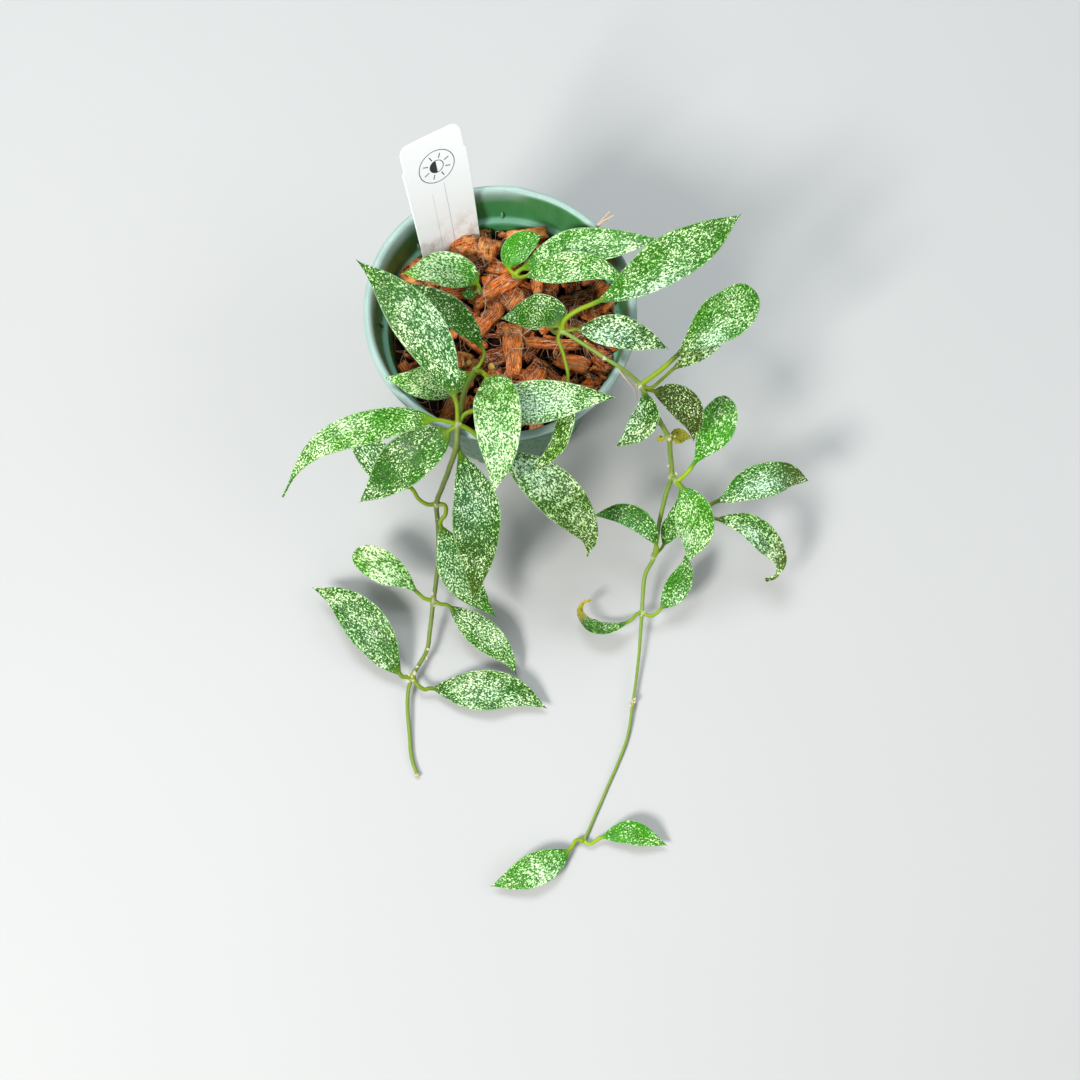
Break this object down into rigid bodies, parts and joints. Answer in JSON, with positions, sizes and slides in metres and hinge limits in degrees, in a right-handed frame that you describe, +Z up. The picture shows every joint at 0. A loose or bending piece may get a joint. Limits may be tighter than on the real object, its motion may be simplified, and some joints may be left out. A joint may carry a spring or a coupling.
{
  "type": "potted hoya parviflora",
  "caption": "Young trailing hoya with silver-flecked leaves in a round green nursery pot of bark mix, its vines hanging over the rim, with a plain white plant label.",
  "frame": {"origin": "centre of the pot's flat underside", "axes": "+Z up out of the pot; the vines hang over the rim and trail towards -Y; the plant label stands at the back left, towards -X and +Y"},
  "size_m": [0.2068, 0.272, 0.1221],
  "materials": {
    "pot_plastic": "translucent green polypropylene, satin, paler at the lip",
    "bark": "rough rust-brown bark chips with pale fibres",
    "label_plastic": "white, smooth, lightly soiled at the bark",
    "leaf": "waxy semi-gloss green, densely flecked with silver",
    "young_leaf": "waxy semi-gloss fresh green, flecked with silver"
  },
  "bodies": {
    "root": {"pot": "pot_plastic", "bark_mix": "bark", "plant_label": "label_plastic", "left_vine": "leaf", "right_vine": "leaf", "back_shoot": "young_leaf", "small_shoot": "leaf"}
  },
  "joints": []
}
